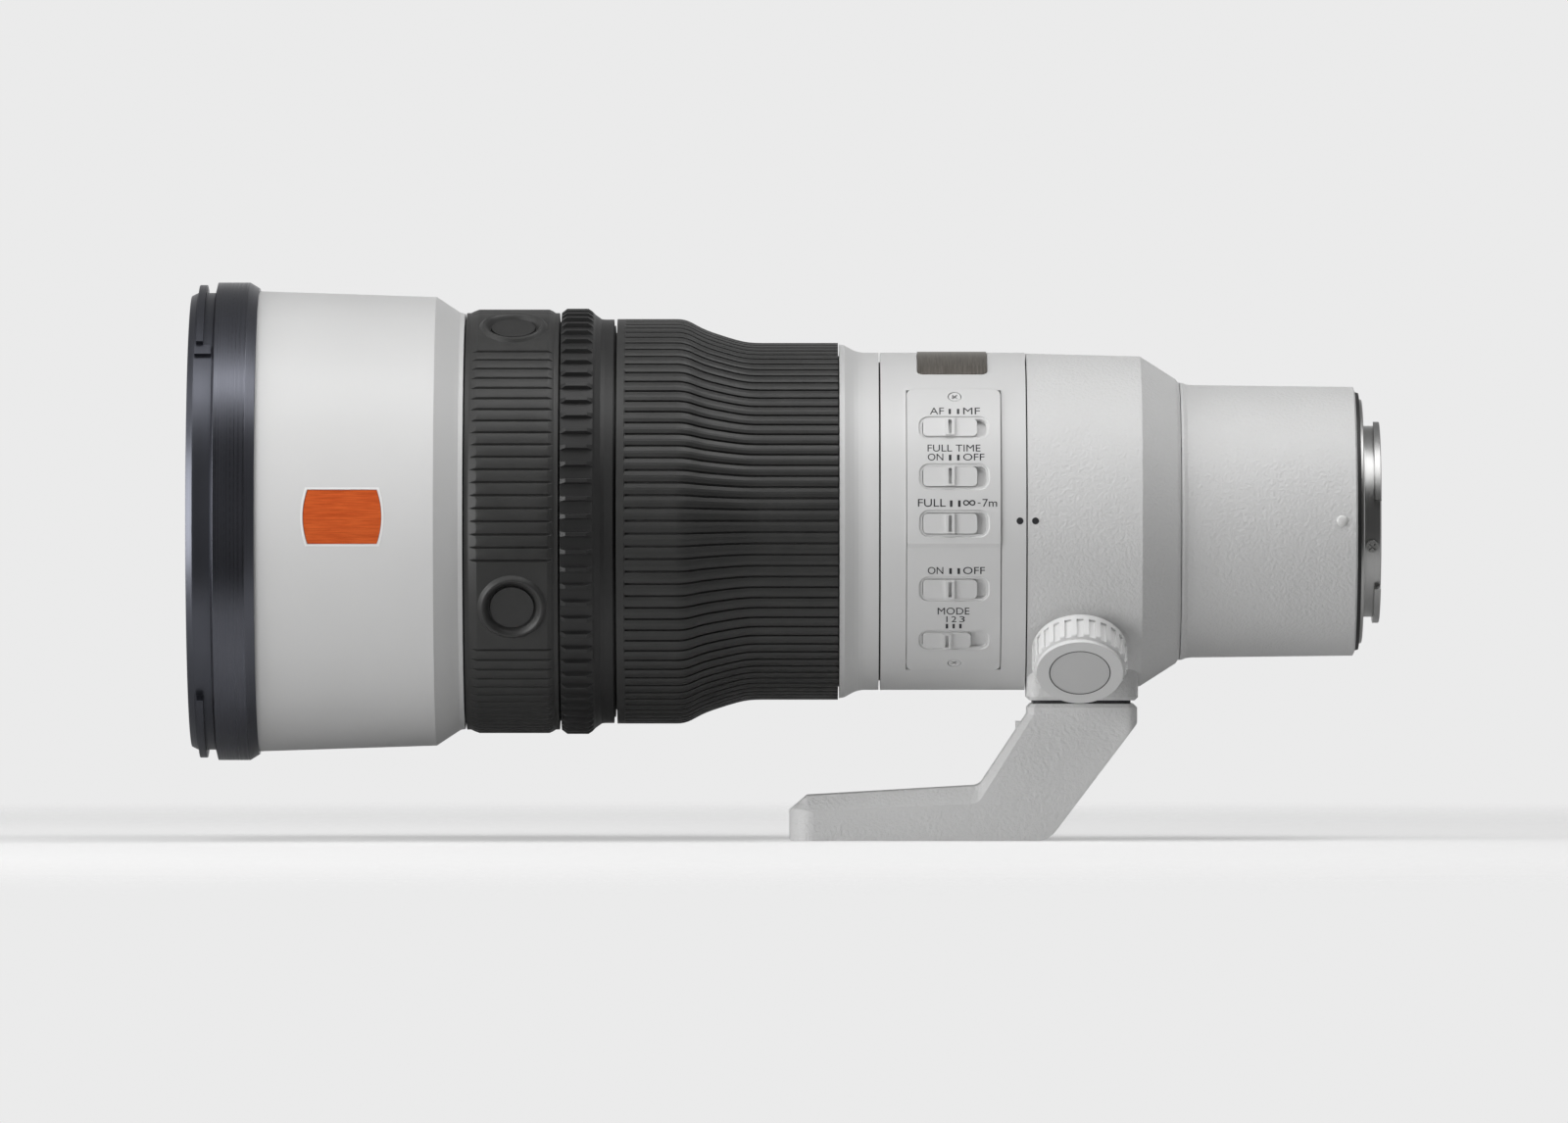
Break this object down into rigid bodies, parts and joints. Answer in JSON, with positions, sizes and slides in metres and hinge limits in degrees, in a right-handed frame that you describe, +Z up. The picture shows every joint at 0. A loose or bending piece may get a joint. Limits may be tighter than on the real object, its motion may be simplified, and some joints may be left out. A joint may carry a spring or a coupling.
{
  "type": "super telephoto lens",
  "caption": "Long white camera lens with a wide black front ring, ribbed rubber focus ring, switch panel, rotating tripod collar with a long foot, and a steel rear bayonet.",
  "frame": {"origin": "centre of the camera flange face, on the optical axis", "axes": "+X along the optical axis towards the camera, the front of the lens at minus X; +Z up, with the tripod foot below; the switch panel faces -Y"},
  "size_m": [0.2856, 0.115, 0.1342],
  "materials": {
    "white_satin": "satin off-white paint",
    "white_crinkle": "finely crinkled off-white paint",
    "switch_white": "satin off-white plastic",
    "knob_white": "satin off-white plastic",
    "knob_cap": "matt off-white paint",
    "black_anodised": "satin black anodising",
    "band_rubber": "matt black rubber",
    "button_rubber": "matt black rubber",
    "grip_rubber": "matt black rubber",
    "seal_rubber": "soft black rubber",
    "brake_rubber": "hard rubber",
    "inner_metal": "matt black anodising",
    "inner_black": "matt black",
    "coated_glass": "polished, coated",
    "badge_orange": "brushed, orange dye",
    "name_metal": "brushed dark metal",
    "mount_steel": "turned and plated",
    "screw_steel": "plated steel",
    "contact_gold": "gold plate",
    "board_green": "solder mask",
    "iris_black": "matt black"
  },
  "bodies": {
    "lens": {"front_barrel": "white_satin", "step_ring": "white_satin", "switch_barrel": "white_satin", "switch_panel": "white_satin", "rear_barrel": "white_crinkle", "panel_screws": "switch_white", "hood_bayonet_ring": "black_anodised", "front_ring": "black_anodised", "button_band": "band_rubber", "inner_barrel": "inner_metal", "collar_sleeve": "inner_metal", "front_cell": "inner_black", "front_retainer": "inner_black", "rear_baffle": "inner_black", "iris_housing": "inner_black", "contact_block": "inner_black", "front_element": "coated_glass", "second_element": "coated_glass", "rear_element": "coated_glass", "badge_plate": "badge_orange", "name_plate": "name_metal", "mount_seal": "seal_rubber", "bayonet_mount": "mount_steel", "mount_screws": "screw_steel", "stop_screw": "screw_steel", "guide_rods": "screw_steel", "contact_pins": "contact_gold", "main_board": "board_green"},
    "focus_ring": {"focus_ring": "inner_metal", "focus_grip": "grip_rubber"},
    "function_ring": {"function_ring": "band_rubber"},
    "tripod_collar": {"collar": "white_crinkle", "foot": "white_crinkle", "foot_screws": "screw_steel", "brake_shoe": "brake_rubber"},
    "clamp_knob": {"clamp_knob": "knob_white", "clamp_cap": "knob_cap", "clamp_stud": "screw_steel"},
    "focus_group": {"focus_carriage": "inner_black", "focus_element": "coated_glass"},
    "stabiliser_frame": {"stabiliser_frame": "inner_black"},
    "stabiliser_cell": {"stabiliser_cell": "inner_black", "stabiliser_element": "coated_glass"},
    "iris_ring": {"iris_ring": "iris_black"},
    "hold_button_1": {"hold_button_1": "button_rubber"},
    "hold_button_2": {"hold_button_2": "button_rubber"},
    "hold_button_3": {"hold_button_3": "button_rubber"},
    "hold_button_4": {"hold_button_4": "button_rubber"},
    "focus_mode_slider": {"focus_mode_slider": "switch_white"},
    "full_time_slider": {"full_time_slider": "switch_white"},
    "range_slider": {"range_slider": "switch_white"},
    "stabiliser_slider": {"stabiliser_slider": "switch_white"},
    "mode_slider": {"mode_slider": "switch_white"},
    "iris_blade_1": {"iris_blade_1": "iris_black"},
    "iris_blade_2": {"iris_blade_2": "iris_black"},
    "iris_blade_3": {"iris_blade_3": "iris_black"},
    "iris_blade_4": {"iris_blade_4": "iris_black"},
    "iris_blade_5": {"iris_blade_5": "iris_black"},
    "iris_blade_6": {"iris_blade_6": "iris_black"},
    "iris_blade_7": {"iris_blade_7": "iris_black"}
  },
  "joints": [
    {"name": "focus_turn", "type": "hinge", "parent": "lens", "child": "focus_ring", "pos_m": [-0.152, 0, 0], "axis": [1, 0, 0], "continuous": true},
    {"name": "function_turn", "type": "hinge", "parent": "lens", "child": "function_ring", "pos_m": [-0.186, 0, 0], "axis": [1, 0, 0], "continuous": true},
    {"name": "collar_turn", "type": "hinge", "parent": "lens", "child": "tripod_collar", "pos_m": [-0.065, 0, 0], "axis": [1, 0, 0], "continuous": true},
    {"name": "clamp_turn", "type": "hinge", "parent": "tripod_collar", "child": "clamp_knob", "pos_m": [-0.0683, -0.02963, -0.02963], "axis": [0, -0.7071, -0.7071], "range_deg": [0, 270]},
    {"name": "focus_slide", "type": "slide", "parent": "lens", "child": "focus_group", "axis": [1, 0, 0], "range_m": [-0.015, 0.02]},
    {"name": "stabiliser_across", "type": "slide", "parent": "lens", "child": "stabiliser_frame", "axis": [0, 1, 0], "range_m": [-0.001, 0.001]},
    {"name": "stabiliser_up", "type": "slide", "parent": "stabiliser_frame", "child": "stabiliser_cell", "axis": [0, 0, 1], "range_m": [-0.001, 0.001]},
    {"name": "iris_turn", "type": "hinge", "parent": "lens", "child": "iris_ring", "pos_m": [-0.108, 0, 0], "axis": [1, 0, 0], "range_deg": [0, 3.88]},
    {"name": "hold_button_1_press", "type": "slide", "parent": "lens", "child": "hold_button_1", "axis": [0, 0.9135, 0.4067], "range_m": [0, 0.0005], "stiffness_N_per_m": 2000, "springref_m": -0.0004},
    {"name": "hold_button_2_press", "type": "slide", "parent": "lens", "child": "hold_button_2", "axis": [0, 0.4067, -0.9135], "range_m": [0, 0.0005], "stiffness_N_per_m": 2000, "springref_m": -0.0004},
    {"name": "hold_button_3_press", "type": "slide", "parent": "lens", "child": "hold_button_3", "axis": [0, -0.9135, -0.4067], "range_m": [0, 0.0005], "stiffness_N_per_m": 2000, "springref_m": -0.0004},
    {"name": "hold_button_4_press", "type": "slide", "parent": "lens", "child": "hold_button_4", "axis": [0, -0.4067, 0.9135], "range_m": [0, 0.0005], "stiffness_N_per_m": 2000, "springref_m": -0.0004},
    {"name": "focus_mode_slide", "type": "slide", "parent": "lens", "child": "focus_mode_slider", "axis": [1, 0, 0], "range_m": [0, 0.002]},
    {"name": "full_time_slide", "type": "slide", "parent": "lens", "child": "full_time_slider", "axis": [1, 0, 0], "range_m": [0, 0.002]},
    {"name": "range_slide", "type": "slide", "parent": "lens", "child": "range_slider", "axis": [1, 0, 0], "range_m": [0, 0.002]},
    {"name": "stabiliser_slide", "type": "slide", "parent": "lens", "child": "stabiliser_slider", "axis": [1, 0, 0], "range_m": [0, 0.002]},
    {"name": "mode_slide", "type": "slide", "parent": "lens", "child": "mode_slider", "axis": [1, 0, 0], "range_m": [0, 0.0033]},
    {"name": "iris_blade_1_swing", "type": "hinge", "parent": "lens", "child": "iris_blade_1", "pos_m": [-0.1103, 0.0242, 0], "axis": [1, 0, 0], "range_deg": [0, 38.2]},
    {"name": "iris_blade_2_swing", "type": "hinge", "parent": "lens", "child": "iris_blade_2", "pos_m": [-0.11005, 0.01509, 0.01892], "axis": [1, 0, 0], "range_deg": [0, 38.2]},
    {"name": "iris_blade_3_swing", "type": "hinge", "parent": "lens", "child": "iris_blade_3", "pos_m": [-0.1098, -0.00539, 0.02359], "axis": [1, 0, 0], "range_deg": [0, 38.2]},
    {"name": "iris_blade_4_swing", "type": "hinge", "parent": "lens", "child": "iris_blade_4", "pos_m": [-0.10955, -0.0218, 0.0105], "axis": [1, 0, 0], "range_deg": [0, 38.2]},
    {"name": "iris_blade_5_swing", "type": "hinge", "parent": "lens", "child": "iris_blade_5", "pos_m": [-0.1093, -0.0218, -0.0105], "axis": [1, 0, 0], "range_deg": [0, 38.2]},
    {"name": "iris_blade_6_swing", "type": "hinge", "parent": "lens", "child": "iris_blade_6", "pos_m": [-0.10905, -0.00539, -0.02359], "axis": [1, 0, 0], "range_deg": [0, 38.2]},
    {"name": "iris_blade_7_swing", "type": "hinge", "parent": "lens", "child": "iris_blade_7", "pos_m": [-0.1088, 0.01509, -0.01892], "axis": [1, 0, 0], "range_deg": [0, 38.2]}
  ],
  "couplings": [
    {"joint": "iris_blade_1_swing", "follows": "iris_turn", "ratio": 9.79},
    {"joint": "iris_blade_2_swing", "follows": "iris_turn", "ratio": 9.79},
    {"joint": "iris_blade_3_swing", "follows": "iris_turn", "ratio": 9.79},
    {"joint": "iris_blade_4_swing", "follows": "iris_turn", "ratio": 9.79},
    {"joint": "iris_blade_5_swing", "follows": "iris_turn", "ratio": 9.79},
    {"joint": "iris_blade_6_swing", "follows": "iris_turn", "ratio": 9.79},
    {"joint": "iris_blade_7_swing", "follows": "iris_turn", "ratio": 9.79}
  ]
}
